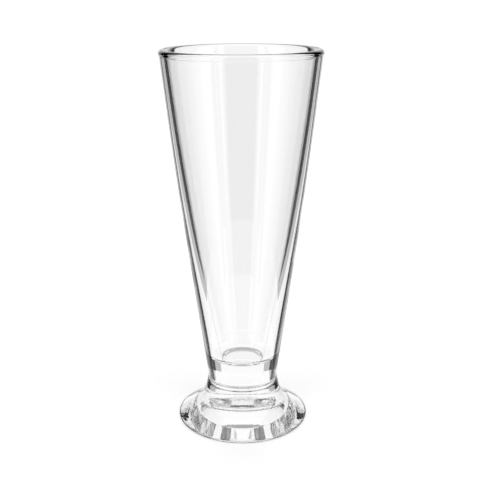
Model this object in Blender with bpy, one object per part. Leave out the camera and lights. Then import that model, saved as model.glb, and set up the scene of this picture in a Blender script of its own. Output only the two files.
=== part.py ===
"""Footed iced coffee glass: a pressed conical bowl, fused at its waist to a pressed, flared foot.

Metres, +Z up. The origin is on the axis, at the surface that the foot stands on.
"""

import math

import bpy

# Overall
HEIGHT = 0.200
SEGMENTS = 72

# Rim: a fire-polished round bead that stands a little proud of the outer wall
RIM_RADIUS = 0.0412
RIM_BEAD_RADIUS = 0.0020
RIM_BEAD_PROUD = 0.0004

# Waist: the sharp groove where bowl and foot are fused
WAIST_RADIUS = 0.0187
WAIST_HEIGHT = 0.0241
SEAM_GAP = 0.0003

# Bowl: both walls are long arcs, so the wall thickens steadily towards the solid base over the waist
OUTER_WALL_BOW = 0.0008
INNER_WALL_BOW = 0.0019
INNER_WALL_LEAN = math.radians(14)
BASE_THICKNESS = 0.0104
FLOOR_RADIUS = 0.0126
FLOOR_CORNER_RADIUS = 0.0040

# Foot: a taper under the waist, a concave fillet, a straight slope and a rounded edge
FOOT_RADIUS = 0.0356
FOOT_TAPER = math.radians(12.5)
FOOT_FILLET_RADIUS = 0.0160
FOOT_SLOPE = math.radians(34.5)
FOOT_EDGE_RADIUS = 0.0010

# Underside: a flat bearing ring round a domed recess
RECESS_RADIUS = 0.0205
RECESS_DEPTH = 0.0105

# Steps along the round stretches of the outlines
WALL_STEPS = 12
BEAD_STEPS = 9
CORNER_STEPS = 5
FILLET_STEPS = 6
EDGE_STEPS = 6
RECESS_STEPS = 7

GLASS_COLOUR = (0.94, 0.96, 0.96, 1.0)
GLASS_INDEX = 1.52


def clear_scene():
    for old in list(bpy.data.objects):
        bpy.data.objects.remove(old)


def glass_material(name):
    """Clear soda-lime glass, fire-polished."""
    material = bpy.data.materials.new(name)
    material.use_nodes = True
    shader = material.node_tree.nodes["Principled BSDF"]
    shader.inputs["Base Color"].default_value = GLASS_COLOUR
    shader.inputs["Metallic"].default_value = 0.0
    shader.inputs["Roughness"].default_value = 0.02
    shader.inputs["IOR"].default_value = GLASS_INDEX
    shader.inputs["Transmission Weight"].default_value = 1.0
    return material


def arc(centre, radius, start, end, steps):
    """Points on a circle in the (radius, height) plane, from one angle to another."""
    turn = (end - start) / steps
    angles = [start + turn * i for i in range(steps + 1)]
    return [(centre[0] + radius * math.cos(a), centre[1] + radius * math.sin(a)) for a in angles]


def bowed(start, end, bow, steps):
    """Points on the arc from start to end whose middle stands off the chord by bow, away from the axis."""
    run, rise = end[0] - start[0], end[1] - start[1]
    chord = math.hypot(run, rise)
    radius = (chord * chord / 4 + bow * bow) / (2 * bow)
    outward = (abs(rise) / chord, -run * math.copysign(1, rise) / chord)
    middle = ((start[0] + end[0]) / 2, (start[1] + end[1]) / 2)
    centre = tuple(m - o * (radius - bow) for m, o in zip(middle, outward))
    first = math.atan2(start[1] - centre[1], start[0] - centre[0])
    last = math.atan2(end[1] - centre[1], end[0] - centre[0])
    return arc(centre, radius, first, last, steps)


def domed(ring, depth, steps):
    """Points on a spherical cap from the ring up to the axis."""
    radius = (ring[0] ** 2 + depth**2) / (2 * depth)
    centre = (0, ring[1] + depth - radius)
    first = math.atan2(ring[1] - centre[1], ring[0])
    return arc(centre, radius, first, math.pi / 2, steps)


def crossing(start, start_angle, end, end_angle):
    """Where a line through start meets a line through end, each at an angle below the horizontal."""
    fall, late_fall = math.tan(start_angle), math.tan(end_angle)
    radius = (start[1] - end[1] + start[0] * fall - end[0] * late_fall) / (fall - late_fall)
    return (radius, start[1] - (radius - start[0]) * fall)


def bowl_outline():
    """From the middle of the bowl's floor, up the inside, over the rim, down the outside, to the seam."""
    bead_centre = (RIM_RADIUS - RIM_BEAD_RADIUS, HEIGHT - RIM_BEAD_RADIUS)
    crease = -math.acos(1 - RIM_BEAD_PROUD / RIM_BEAD_RADIUS)
    bead = arc(bead_centre, RIM_BEAD_RADIUS, math.pi, crease, BEAD_STEPS)
    floor = WAIST_HEIGHT + BASE_THICKNESS
    corner_centre = (FLOOR_RADIUS - FLOOR_CORNER_RADIUS, floor + FLOOR_CORNER_RADIUS)
    corner = arc(corner_centre, FLOOR_CORNER_RADIUS, -math.pi / 2, -INNER_WALL_LEAN, CORNER_STEPS)
    inner = bowed(corner[-1], bead[0], INNER_WALL_BOW, WALL_STEPS)
    seam = WAIST_HEIGHT + SEAM_GAP
    outer = bowed(bead[-1], (WAIST_RADIUS, seam), OUTER_WALL_BOW, WALL_STEPS)
    return [(0, floor), *corner, *inner[1:], *bead[1:], *outer[1:], (0, seam)]


def foot_outline():
    """From the middle of the seam, down the taper and the fillet, over the slope and the edge, to the recess."""
    waist = (WAIST_RADIUS, WAIST_HEIGHT)
    edge_centre = (FOOT_RADIUS - FOOT_EDGE_RADIUS, FOOT_EDGE_RADIUS)
    edge = arc(edge_centre, FOOT_EDGE_RADIUS, math.pi / 2 - FOOT_SLOPE, -math.pi / 2, EDGE_STEPS)
    corner = crossing(waist, math.pi / 2 - FOOT_TAPER, edge[0], FOOT_SLOPE)
    run_in = FOOT_FILLET_RADIUS * math.tan((math.pi / 2 - FOOT_TAPER - FOOT_SLOPE) / 2)
    along, across = math.cos(FOOT_TAPER), math.sin(FOOT_TAPER)
    fillet_start = (corner[0] - run_in * across, corner[1] + run_in * along)
    fillet_centre = (fillet_start[0] + FOOT_FILLET_RADIUS * along, fillet_start[1] + FOOT_FILLET_RADIUS * across)
    fillet_end = 1.5 * math.pi - FOOT_SLOPE
    fillet = arc(fillet_centre, FOOT_FILLET_RADIUS, math.pi + FOOT_TAPER, fillet_end, FILLET_STEPS)
    recess = domed((RECESS_RADIUS, 0), RECESS_DEPTH, RECESS_STEPS)
    return [(0, WAIST_HEIGHT), waist, *fillet, *edge, *recess]


def revolve(name, outline, material):
    """The solid that the outline sweeps round the Z axis."""
    mesh = bpy.data.meshes.new(name)
    edges = [(i, i + 1) for i in range(len(outline) - 1)]
    mesh.from_pydata([(radius, 0, height) for radius, height in outline], edges, [])
    mesh.materials.append(material)
    solid = bpy.data.objects.new(name, mesh)
    bpy.context.scene.collection.objects.link(solid)
    screw = solid.modifiers.new("Revolve", "SCREW")
    screw.axis = "Z"
    screw.angle = math.tau
    screw.steps = SEGMENTS
    screw.render_steps = SEGMENTS
    screw.use_merge_vertices = True
    screw.merge_threshold = 1e-6
    screw.use_smooth_shade = True
    return solid


clear_scene()
glass = bpy.data.objects.new("iced_coffee_glass", None)
bpy.context.scene.collection.objects.link(glass)
revolve("bowl", bowl_outline(), glass_material("bowl_glass")).parent = glass
revolve("foot", foot_outline(), glass_material("foot_glass")).parent = glass
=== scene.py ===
"""Looks of the footed iced coffee glass: clear pressed glass on a white table, in front of a white backdrop.

Metres, +Z up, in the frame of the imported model, whose origin is on the glass's axis at the table.
"""

import math

import bmesh
import bpy
from mathutils import Matrix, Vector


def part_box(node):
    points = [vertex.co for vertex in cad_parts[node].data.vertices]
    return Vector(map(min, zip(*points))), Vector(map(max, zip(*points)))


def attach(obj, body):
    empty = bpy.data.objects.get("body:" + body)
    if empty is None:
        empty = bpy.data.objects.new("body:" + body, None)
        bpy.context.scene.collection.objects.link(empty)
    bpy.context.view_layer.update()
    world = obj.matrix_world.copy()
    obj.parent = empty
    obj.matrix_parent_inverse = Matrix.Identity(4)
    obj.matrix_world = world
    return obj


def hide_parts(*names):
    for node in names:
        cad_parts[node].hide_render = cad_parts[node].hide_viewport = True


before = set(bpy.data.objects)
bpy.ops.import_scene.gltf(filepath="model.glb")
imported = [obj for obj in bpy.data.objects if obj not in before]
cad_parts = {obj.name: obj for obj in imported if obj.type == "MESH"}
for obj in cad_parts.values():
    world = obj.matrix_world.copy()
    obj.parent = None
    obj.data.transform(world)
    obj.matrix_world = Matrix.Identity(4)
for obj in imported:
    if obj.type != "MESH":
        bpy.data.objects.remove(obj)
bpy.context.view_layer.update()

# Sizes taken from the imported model
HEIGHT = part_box("bowl")[1].z
RIM_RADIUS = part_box("bowl")[1].x
FOOT_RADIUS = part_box("foot")[1].x

# Rim: a fire-polished round bead that stands a little proud of the outer wall
RIM_BEAD_RADIUS = 0.0020
RIM_BEAD_PROUD = 0.0004

# Waist: the sharp groove where bowl and foot are fused
WAIST_RADIUS = 0.0187
WAIST_HEIGHT = 0.0241

# Bowl: both walls are long arcs, so the wall thickens steadily towards the solid base over the waist
OUTER_WALL_BOW = 0.0008
INNER_WALL_BOW = 0.0019
INNER_WALL_LEAN = math.radians(14)
BASE_THICKNESS = 0.0104
FLOOR_RADIUS = 0.0126
FLOOR_CORNER_RADIUS = 0.0040

# Foot: a taper under the waist, a concave fillet, a straight slope, a rounded edge and a domed recess below
FOOT_TAPER = math.radians(12.5)
FOOT_FILLET_RADIUS = 0.0160
FOOT_SLOPE = math.radians(34.5)
FOOT_EDGE_RADIUS = 0.0010
RECESS_RADIUS = 0.0225
RECESS_DEPTH = 0.0105

# Fineness of the meshes
SEGMENTS = 192
OUTLINE_STEP = 0.0006
LEAST_ARC_STEPS = 6
SHARP_ANGLE = math.radians(25)
AXIS_TOLERANCE = 1e-7
FLAT_TOLERANCE = 1e-6

# Where the looks change: the top of the rim bead, and the flat ring that the foot stands on
RIM_LOOK_HEIGHTS = (HEIGHT - 1.3 * RIM_BEAD_RADIUS, 2 * HEIGHT)
RING_LOOK_HEIGHTS = (-HEIGHT, FLAT_TOLERANCE)

# Glass
GLASS_INDEX = 1.52
RING_ROUGHNESS = 0.04
STREAK_SCALE = 12
STREAK_DETAIL = 1
FOOT_STREAK_HEIGHT = 0.00007

# Painted shade: dark outlines painted into the glass's colour. The facing value at which each begins, at the
# lower and at the upper of two heights
BOWL_OUTLINE_HEIGHTS = (0.20 * HEIGHT, 0.75 * HEIGHT)
BOWL_OUTLINE_FROM = (0.53, 0.74)
INSIDE_OUTLINE_FROM = (0.84, 0.90)
RIM_OUTLINE_FROM = (0.50, 0.50)
FOOT_OUTLINE_HEIGHTS = (FOOT_EDGE_RADIUS, 3 * FOOT_EDGE_RADIUS)
FOOT_OUTLINE_FROM = (0.40, 0.80)

# Across an outline: how far along it from its start, and how much of the glass's colour the painted shade
# leaves there
OUTLINE_LEVELS = ((0.08, 0.002), (0.22, 0.003), (0.4, 0.16), (0.7, 0.3), (0.99, 0.2))

# Camera, fitted to the ellipses of the rim and the foot in the photograph
IMAGE_PIXELS = 484
FOCAL_PIXELS = 826.67
CENTRE_PIXEL = 241.5
AXIS_PIXEL = 241.46
SENSOR_WIDTH = 36.0
CLIP_START = 0.01
CAMERA_DISTANCE = 2.0942 * HEIGHT
CAMERA_HEIGHT = 1.1444 * HEIGHT
CAMERA_PITCH = math.radians(17.121)
CAMERA_ROLL = math.radians(-0.245)

# Studio: white panels on a far sphere, in degrees from straight behind the glass and above the horizon
PANEL_DISTANCE = 4.0
PANEL_STEP = 3
BACKDROP_HALF_ANGLE = 25
BACKDROP_SWEEP = 28
BACKDROP_SWEEP_POWER = 3.5
BACKDROP_EDGE_WIDTH = 11
BACKDROP_EDGE_LEVEL = 0.5
BACKDROP_TOP = 42
GROUND_TOP = -33
SOFTBOX_FROM = 106
SOFTBOX_BAR = (137, 142)
SOFTBOX_TO = 153
SOFTBOX_TOP = 46
SIDE_FROM = 74
SIDE_TOP = 10
SIDE_LEVEL = 0.5
CEILING_BACK_BOTTOM = 54
CEILING_BACK_TO = 40
CEILING_FRONT_BOTTOM = 46
CEILING_FRONT_FROM = 100
CEILING_SIDE_LEVEL = 0.1
WORLD_DARK = 0.004
LIGHT_BOUNCES = 64

# Floor, and the grey disc under it that shows only through the glass
FLOOR_HALF_WIDTH = 2.0
FLOOR_DROP = 0.0001
FLOOR_WHITE = 0.8
FLOOR_GLOW = 0.68
SHADE_RADIUS = 0.050
SHADE_DEPTH = 0.050
SHADE_LEVEL = 0.42
SHADE_SIDES = 96


def arc(centre, radius, start, end):
    """Points on a circle in the (radius, height) plane, from one angle to another."""
    steps = max(LEAST_ARC_STEPS, math.ceil(abs(end - start) * radius / OUTLINE_STEP))
    turn = (end - start) / steps
    angles = [start + turn * i for i in range(steps + 1)]
    return [(centre[0] + radius * math.cos(a), centre[1] + radius * math.sin(a)) for a in angles]


def straight(start, end):
    """Points on a straight run, close enough together to keep the smooth shading of its neighbours local."""
    run, rise = end[0] - start[0], end[1] - start[1]
    steps = max(1, math.ceil(math.hypot(run, rise) / OUTLINE_STEP))
    return [(start[0] + run * i / steps, start[1] + rise * i / steps) for i in range(steps + 1)]


def bowed(start, end, bow):
    """Points on the arc from start to end whose middle stands off the chord by bow, away from the axis."""
    run, rise = end[0] - start[0], end[1] - start[1]
    chord = math.hypot(run, rise)
    radius = (chord * chord / 4 + bow * bow) / (2 * bow)
    outward = (abs(rise) / chord, -run * math.copysign(1, rise) / chord)
    middle = ((start[0] + end[0]) / 2, (start[1] + end[1]) / 2)
    centre = tuple(m - o * (radius - bow) for m, o in zip(middle, outward))
    first = math.atan2(start[1] - centre[1], start[0] - centre[0])
    last = math.atan2(end[1] - centre[1], end[0] - centre[0])
    return arc(centre, radius, first, last)


def domed(ring, depth):
    """Points on a spherical cap from the ring up to the axis."""
    radius = (ring[0] ** 2 + depth**2) / (2 * depth)
    centre = (0, ring[1] + depth - radius)
    first = math.atan2(ring[1] - centre[1], ring[0])
    return arc(centre, radius, first, math.pi / 2)


def crossing(start, start_angle, end, end_angle):
    """Where a line through start meets a line through end, each at an angle below the horizontal."""
    fall, late_fall = math.tan(start_angle), math.tan(end_angle)
    radius = (start[1] - end[1] + start[0] * fall - end[0] * late_fall) / (fall - late_fall)
    return (radius, start[1] - (radius - start[0]) * fall)


def bowl_outline():
    """From the middle of the bowl's floor, up the inside, over the rim and down the outside, to the waist."""
    bead_centre = (RIM_RADIUS - RIM_BEAD_RADIUS, HEIGHT - RIM_BEAD_RADIUS)
    crease = -math.acos(1 - RIM_BEAD_PROUD / RIM_BEAD_RADIUS)
    bead = arc(bead_centre, RIM_BEAD_RADIUS, math.pi, crease)
    floor_height = WAIST_HEIGHT + BASE_THICKNESS
    corner_centre = (FLOOR_RADIUS - FLOOR_CORNER_RADIUS, floor_height + FLOOR_CORNER_RADIUS)
    corner = arc(corner_centre, FLOOR_CORNER_RADIUS, -math.pi / 2, -INNER_WALL_LEAN)
    floor = straight((0, floor_height), corner[0])
    inner = bowed(corner[-1], bead[0], INNER_WALL_BOW)
    outer = bowed(bead[-1], (WAIST_RADIUS, WAIST_HEIGHT), OUTER_WALL_BOW)
    return floor + corner[1:] + inner[1:] + bead[1:] + outer[1:]


def foot_outline():
    """From the waist, down taper and fillet, over the slope and the edge, to the middle of the recess."""
    waist = (WAIST_RADIUS, WAIST_HEIGHT)
    edge_centre = (FOOT_RADIUS - FOOT_EDGE_RADIUS, FOOT_EDGE_RADIUS)
    edge = arc(edge_centre, FOOT_EDGE_RADIUS, math.pi / 2 - FOOT_SLOPE, -math.pi / 2)
    corner = crossing(waist, math.pi / 2 - FOOT_TAPER, edge[0], FOOT_SLOPE)
    run_in = FOOT_FILLET_RADIUS * math.tan((math.pi / 2 - FOOT_TAPER - FOOT_SLOPE) / 2)
    along, across = math.cos(FOOT_TAPER), math.sin(FOOT_TAPER)
    fillet_start = (corner[0] - run_in * across, corner[1] + run_in * along)
    inset = (FOOT_FILLET_RADIUS * along, FOOT_FILLET_RADIUS * across)
    fillet_centre = (fillet_start[0] + inset[0], fillet_start[1] + inset[1])
    fillet_end = 1.5 * math.pi - FOOT_SLOPE
    fillet = arc(fillet_centre, FOOT_FILLET_RADIUS, math.pi + FOOT_TAPER, fillet_end)
    taper = straight(waist, fillet[0])
    slope = straight(fillet[-1], edge[0])
    ring = straight(edge[-1], (RECESS_RADIUS, 0))
    recess = domed(ring[-1], RECESS_DEPTH)
    return taper + fillet[1:] + slope[1:] + edge[1:] + ring[1:] + recess[1:]


def lathe_mesh(name, outline, seam):
    """A closed mesh round the axis, and how many of its faces come before those of the disc at the seam."""
    rings = [point for point in outline if point[0] > AXIS_TOLERANCE]
    starts_on_axis = outline[0][0] <= AXIS_TOLERANCE
    tip = outline[0] if starts_on_axis else outline[-1]
    if not starts_on_axis:
        rings.reverse()
    turn = math.tau / SEGMENTS
    verts = [(0, 0, tip[1])]
    verts += [
        (radius * math.cos(turn * k), radius * math.sin(turn * k), height)
        for radius, height in rings
        for k in range(SEGMENTS)
    ]
    seam_middle = len(verts)
    verts.append((0, 0, seam))

    def at(ring, k):
        return 1 + ring * SEGMENTS + k % SEGMENTS

    faces = [(0, at(0, k + 1), at(0, k)) for k in range(SEGMENTS)]
    faces += [
        (at(r, k), at(r, k + 1), at(r + 1, k + 1), at(r + 1, k))
        for r in range(len(rings) - 1)
        for k in range(SEGMENTS)
    ]
    last = len(rings) - 1
    glass_faces = len(faces)
    faces += [(at(last, k), at(last, k + 1), seam_middle) for k in range(SEGMENTS)]
    mesh = bpy.data.meshes.new(name)
    mesh.from_pydata(verts, [], faces)
    shaped = bmesh.new()
    shaped.from_mesh(mesh)
    bmesh.ops.recalc_face_normals(shaped, faces=shaped.faces)
    shaped.to_mesh(mesh)
    shaped.free()
    return mesh, glass_faces


def revolve(name, outline, seam, outside, inside, end, end_heights):
    """The lathe solid of an outline between axis and seam, with a look for each stretch of its surface."""
    mesh, glass_faces = lathe_mesh(name, outline, seam)
    for material in (outside, inside, end, seam_material()):
        mesh.materials.append(material)
    for polygon in mesh.polygons[:glass_faces]:
        looks_outward = polygon.normal.xy.dot(polygon.center.xy) > FLAT_TOLERANCE
        at_end = end_heights[0] < polygon.center.z < end_heights[1]
        polygon.material_index = 2 if at_end else 0 if looks_outward else 1
    for polygon in mesh.polygons[glass_faces:]:
        polygon.material_index = 3
    mesh.shade_smooth()
    mesh.set_sharp_from_angle(angle=SHARP_ANGLE)
    solid = bpy.data.objects.new(name, mesh)
    bpy.context.scene.collection.objects.link(solid)
    return solid


def glass_material(name, outline_from=None, heights=BOWL_OUTLINE_HEIGHTS, streak_height=0, roughness=0.0):
    """Clear soda-lime glass with dark outlines painted into its colour as painted shade, and with pressed
    streaks where these are asked for.
    """
    material = bpy.data.materials.new(name)
    material.use_nodes = True
    nodes, links = material.node_tree.nodes, material.node_tree.links
    shader = nodes["Principled BSDF"]
    shader.inputs["Base Color"].default_value = (1, 1, 1, 1)
    shader.inputs["IOR"].default_value = GLASS_INDEX
    shader.inputs["Roughness"].default_value = roughness
    shader.inputs["Transmission Weight"].default_value = 1.0
    if outline_from:
        shade_outlines(nodes, links, shader, outline_from, heights)
    if streak_height:
        add_streaks(nodes, links, shader, streak_height)
    return material


def shade_outlines(nodes, links, shader, outline_from, heights):
    """Painted shade: darkens the glass's colour where a ray enters it at a grazing angle, a dark line inside
    each outline.
    """
    facing = nodes.new("ShaderNodeLayerWeight")
    place = nodes.new("ShaderNodeTexCoord")
    height = nodes.new("ShaderNodeSeparateXYZ")
    links.new(place.outputs["Object"], height.inputs["Vector"])
    start = nodes.new("ShaderNodeMapRange")
    start.interpolation_type = "SMOOTHSTEP"
    start.inputs["From Min"].default_value = heights[0]
    start.inputs["From Max"].default_value = heights[1]
    start.inputs["To Min"].default_value = outline_from[0]
    start.inputs["To Max"].default_value = outline_from[1]
    links.new(height.outputs["Z"], start.inputs["Value"])
    inside = nodes.new("ShaderNodeMapRange")
    inside.inputs["From Max"].default_value = 1
    links.new(start.outputs["Result"], inside.inputs["From Min"])
    links.new(facing.outputs["Facing"], inside.inputs["Value"])
    # The painted shade: the colour falls from white to dark across each outline, by the levels listed above
    clear = nodes.new("ShaderNodeValToRGB")
    stops = clear.color_ramp.elements
    stops[0].color = (1, 1, 1, 1)
    for stop, level in OUTLINE_LEVELS:
        stops.new(stop).color = (level, level, level, 1)
    links.new(inside.outputs["Result"], clear.inputs["Fac"])
    # Faces seen from behind add white back, so the painted shade falls only where a ray enters the glass
    side = nodes.new("ShaderNodeNewGeometry")
    colour = nodes.new("ShaderNodeMath")
    colour.operation = "ADD"
    colour.use_clamp = True
    links.new(clear.outputs["Color"], colour.inputs[0])
    links.new(side.outputs["Backfacing"], colour.inputs[1])
    links.new(colour.outputs["Value"], shader.inputs["Base Color"])


def add_streaks(nodes, links, shader, height):
    """Faint streaks that run out from the axis, left by the press."""
    place = nodes.new("ShaderNodeTexCoord")
    flat = nodes.new("ShaderNodeVectorMath")
    flat.operation = "MULTIPLY"
    flat.inputs[1].default_value = (1, 1, 0)
    links.new(place.outputs["Object"], flat.inputs[0])
    outward = nodes.new("ShaderNodeVectorMath")
    outward.operation = "NORMALIZE"
    links.new(flat.outputs["Vector"], outward.inputs[0])
    streaks = nodes.new("ShaderNodeTexNoise")
    streaks.inputs["Scale"].default_value = STREAK_SCALE
    streaks.inputs["Detail"].default_value = STREAK_DETAIL
    links.new(outward.outputs["Vector"], streaks.inputs["Vector"])
    bump = nodes.new("ShaderNodeBump")
    bump.inputs["Distance"].default_value = height
    links.new(streaks.outputs["Fac"], bump.inputs["Height"])
    links.new(bump.outputs["Normal"], shader.inputs["Normal"])


def seam_material():
    """The fused joint inside the glass, where light meets no surface."""
    name = "fused_joint"
    if name in bpy.data.materials:
        return bpy.data.materials[name]
    material = bpy.data.materials.new(name)
    material.use_nodes = True
    nodes = material.node_tree.nodes
    nodes.remove(nodes["Principled BSDF"])
    clear = nodes.new("ShaderNodeBsdfTransparent")
    material.node_tree.links.new(clear.outputs["BSDF"], nodes["Material Output"].inputs["Surface"])
    return material


def make_glass():
    # The inside, rim, bowl-outside and foot looks carry the painted dark outlines; the bearing ring has none
    inside = glass_material("inside_look", INSIDE_OUTLINE_FROM)
    rim = glass_material("rim_look", RIM_OUTLINE_FROM)
    bowl_outside = glass_material("bowl_outside_look", BOWL_OUTLINE_FROM)
    foot_look = glass_material("foot_look", FOOT_OUTLINE_FROM, FOOT_OUTLINE_HEIGHTS, FOOT_STREAK_HEIGHT)
    ring = glass_material("bearing_ring_look", roughness=RING_ROUGHNESS)
    bowl = revolve("bowl_glass", bowl_outline(), WAIST_HEIGHT, bowl_outside, inside, rim, RIM_LOOK_HEIGHTS)
    foot = revolve("foot_glass", foot_outline(), WAIST_HEIGHT, foot_look, foot_look, ring, RING_LOOK_HEIGHTS)
    for piece, node in ((bowl, "bowl"), (foot, "foot")):
        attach(piece, "root")
        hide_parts(node)


def make_camera():
    data = bpy.data.cameras.new("camera")
    data.sensor_width = SENSOR_WIDTH
    data.lens = FOCAL_PIXELS / IMAGE_PIXELS * SENSOR_WIDTH
    data.shift_x = (CENTRE_PIXEL - AXIS_PIXEL) / IMAGE_PIXELS
    data.clip_start = CLIP_START
    camera = bpy.data.objects.new("camera", data)
    bpy.context.scene.collection.objects.link(camera)
    place = Matrix.Translation((0, -CAMERA_DISTANCE, CAMERA_HEIGHT))
    tilt = Matrix.Rotation(math.pi / 2 - CAMERA_PITCH, 4, "X")
    roll = Matrix.Rotation(CAMERA_ROLL, 4, "Z")
    camera.matrix_world = place @ tilt @ roll
    bpy.context.scene.camera = camera
    return camera


def glow_material(name, level):
    """An even white glow of the given level."""
    material = bpy.data.materials.new(name)
    material.use_nodes = True
    nodes = material.node_tree.nodes
    nodes.remove(nodes["Principled BSDF"])
    glow = nodes.new("ShaderNodeEmission")
    glow.inputs["Strength"].default_value = level
    material.node_tree.links.new(glow.outputs["Emission"], nodes["Material Output"].inputs["Surface"])
    return material


def stage_object(name, verts, faces, material, rig):
    mesh = bpy.data.meshes.new(name)
    mesh.from_pydata(verts, [], faces)
    mesh.materials.append(material)
    made = bpy.data.objects.new(name, mesh)
    bpy.context.scene.collection.objects.link(made)
    made.parent = rig
    return made


def panel(name, azimuths, elevations, level, rig):
    """A glowing patch of the far sphere; azimuths gives its two sides at each elevation."""
    rows = max(1, math.ceil((elevations[1] - elevations[0]) / PANEL_STEP))
    heights = [elevations[0] + (elevations[1] - elevations[0]) * j / rows for j in range(rows + 1)]
    columns = max(math.ceil(abs(end - start) / PANEL_STEP) for start, end in map(azimuths, heights))
    verts = []
    for i in range(columns + 1):
        for height in heights:
            start, end = azimuths(height)
            across = math.radians(start + (end - start) * i / columns)
            up = math.radians(height)
            level_reach = PANEL_DISTANCE * math.cos(up)
            x, y = level_reach * math.sin(across), level_reach * math.cos(across)
            verts.append((x, y, PANEL_DISTANCE * math.sin(up)))
    span = rows + 1
    faces = [
        (i * span + j, i * span + j + 1, (i + 1) * span + j + 1, (i + 1) * span + j)
        for i in range(columns)
        for j in range(rows)
    ]
    made = stage_object(name, verts, faces, glow_material(name, level), rig)
    made.visible_camera = False


def backdrop_reach(elevation):
    """Half the width of the backdrop at an elevation: it sweeps forward to either side as it comes down."""
    drop = max(0, elevation / GROUND_TOP)
    return BACKDROP_HALF_ANGLE + BACKDROP_SWEEP * drop**BACKDROP_SWEEP_POWER


def backdrop_edge(side, elevation):
    reach = backdrop_reach(elevation)
    return side * reach, side * (reach + BACKDROP_EDGE_WIDTH)


def make_panels(rig):
    heights = (GROUND_TOP, BACKDROP_TOP)
    panel("backdrop", lambda up: (-backdrop_reach(up), backdrop_reach(up)), heights, 1.0, rig)
    for side, word in ((-1, "left"), (1, "right")):
        panel("backdrop_edge_" + word, lambda up: backdrop_edge(side, up), heights, BACKDROP_EDGE_LEVEL, rig)
        near = (side * SOFTBOX_FROM, side * SOFTBOX_BAR[0])
        far = (side * SOFTBOX_BAR[1], side * SOFTBOX_TO)
        panel("softbox_" + word, lambda up: near, (GROUND_TOP, SOFTBOX_TOP), 1.0, rig)
        panel("softbox_strip_" + word, lambda up: far, (GROUND_TOP, SOFTBOX_TOP), 1.0, rig)
        flank = (side * SIDE_FROM, side * SOFTBOX_FROM)
        panel("side_" + word, lambda up: flank, (GROUND_TOP, SIDE_TOP), SIDE_LEVEL, rig)
    panel("ground", lambda up: (-180, 180), (-90, GROUND_TOP), 1.0, rig)
    back = (-CEILING_BACK_TO, CEILING_BACK_TO)
    panel("ceiling_back", lambda up: back, (CEILING_BACK_BOTTOM, 90), 1.0, rig)
    front = (CEILING_FRONT_FROM, 360 - CEILING_FRONT_FROM)
    panel("ceiling_front", lambda up: front, (CEILING_FRONT_BOTTOM, 90), 1.0, rig)
    for side, word in ((-1, "left"), (1, "right")):
        span = (side * CEILING_BACK_TO, side * CEILING_FRONT_FROM)
        panel("ceiling_" + word, lambda up: span, (CEILING_FRONT_BOTTOM, 90), CEILING_SIDE_LEVEL, rig)


def floor_material():
    """Mostly its own even white, with enough of the studio's light on it to keep the glass's soft shadow."""
    material = bpy.data.materials.new("white_floor")
    material.use_nodes = True
    shader = material.node_tree.nodes["Principled BSDF"]
    shader.inputs["Base Color"].default_value = (FLOOR_WHITE, FLOOR_WHITE, FLOOR_WHITE, 1)
    shader.inputs["Roughness"].default_value = 1.0
    shader.inputs["Specular IOR Level"].default_value = 0.0
    shader.inputs["Emission Color"].default_value = (1, 1, 1, 1)
    shader.inputs["Emission Strength"].default_value = FLOOR_GLOW
    return material


def make_floor(rig):
    """The floor carries the shadow; through the glass the bright ground panel shows in its place."""
    half = FLOOR_HALF_WIDTH
    corners = [(-half, -half), (half, -half), (half, half), (-half, half)]
    verts = [(x, y, -FLOOR_DROP) for x, y in corners]
    floor = stage_object("floor", verts, [(0, 1, 2, 3)], floor_material(), rig)
    floor.visible_transmission = False
    floor.visible_glossy = False


def make_shaded_floor(rig):
    """A grey disc that stands in for the shade under the glass, and shows only through the glass."""
    turn = math.tau / SHADE_SIDES
    around = [(math.cos(turn * i), math.sin(turn * i)) for i in range(SHADE_SIDES)]
    verts = [(SHADE_RADIUS * x, SHADE_RADIUS * y, -SHADE_DEPTH) for x, y in around]
    look = glow_material("shaded_floor", SHADE_LEVEL)
    patch = stage_object("shaded_floor", verts, [tuple(range(SHADE_SIDES))], look, rig)
    patch.visible_camera = False
    patch.visible_diffuse = False
    patch.visible_shadow = False


def make_world():
    """White for the camera; dark for every other ray, so that the panels alone shape the glass."""
    world = bpy.data.worlds.new("studio")
    bpy.context.scene.world = world
    world.use_nodes = True
    nodes, links = world.node_tree.nodes, world.node_tree.links
    seen = nodes["Background"]
    seen.inputs["Color"].default_value = (1, 1, 1, 1)
    dark = nodes.new("ShaderNodeBackground")
    dark.inputs["Color"].default_value = (WORLD_DARK, WORLD_DARK, WORLD_DARK, 1)
    path = nodes.new("ShaderNodeLightPath")
    choose = nodes.new("ShaderNodeMixShader")
    links.new(path.outputs["Is Camera Ray"], choose.inputs["Fac"])
    links.new(dark.outputs["Background"], choose.inputs[1])
    links.new(seen.outputs["Background"], choose.inputs[2])
    links.new(choose.outputs["Shader"], nodes["World Output"].inputs["Surface"])


def make_studio(camera):
    """Panels, floor and world. They turn about the upright axis with the camera, as round a turntable."""
    rig = bpy.data.objects.new("studio_rig", None)
    bpy.context.scene.collection.objects.link(rig)
    follow = rig.constraints.new("LOCKED_TRACK")
    follow.target = camera
    follow.track_axis = "TRACK_NEGATIVE_Y"
    follow.lock_axis = "LOCK_Z"
    make_panels(rig)
    make_floor(rig)
    make_shaded_floor(rig)
    make_world()


def set_view():
    """Enough bounces for light to find its way through the thick base."""
    scene = bpy.context.scene
    scene.view_settings.view_transform = "Standard"
    scene.cycles.max_bounces = LIGHT_BOUNCES
    scene.cycles.transmission_bounces = LIGHT_BOUNCES
    scene.cycles.glossy_bounces = LIGHT_BOUNCES
    scene.cycles.caustics_reflective = False
    scene.cycles.caustics_refractive = False


make_glass()
make_studio(make_camera())
set_view()
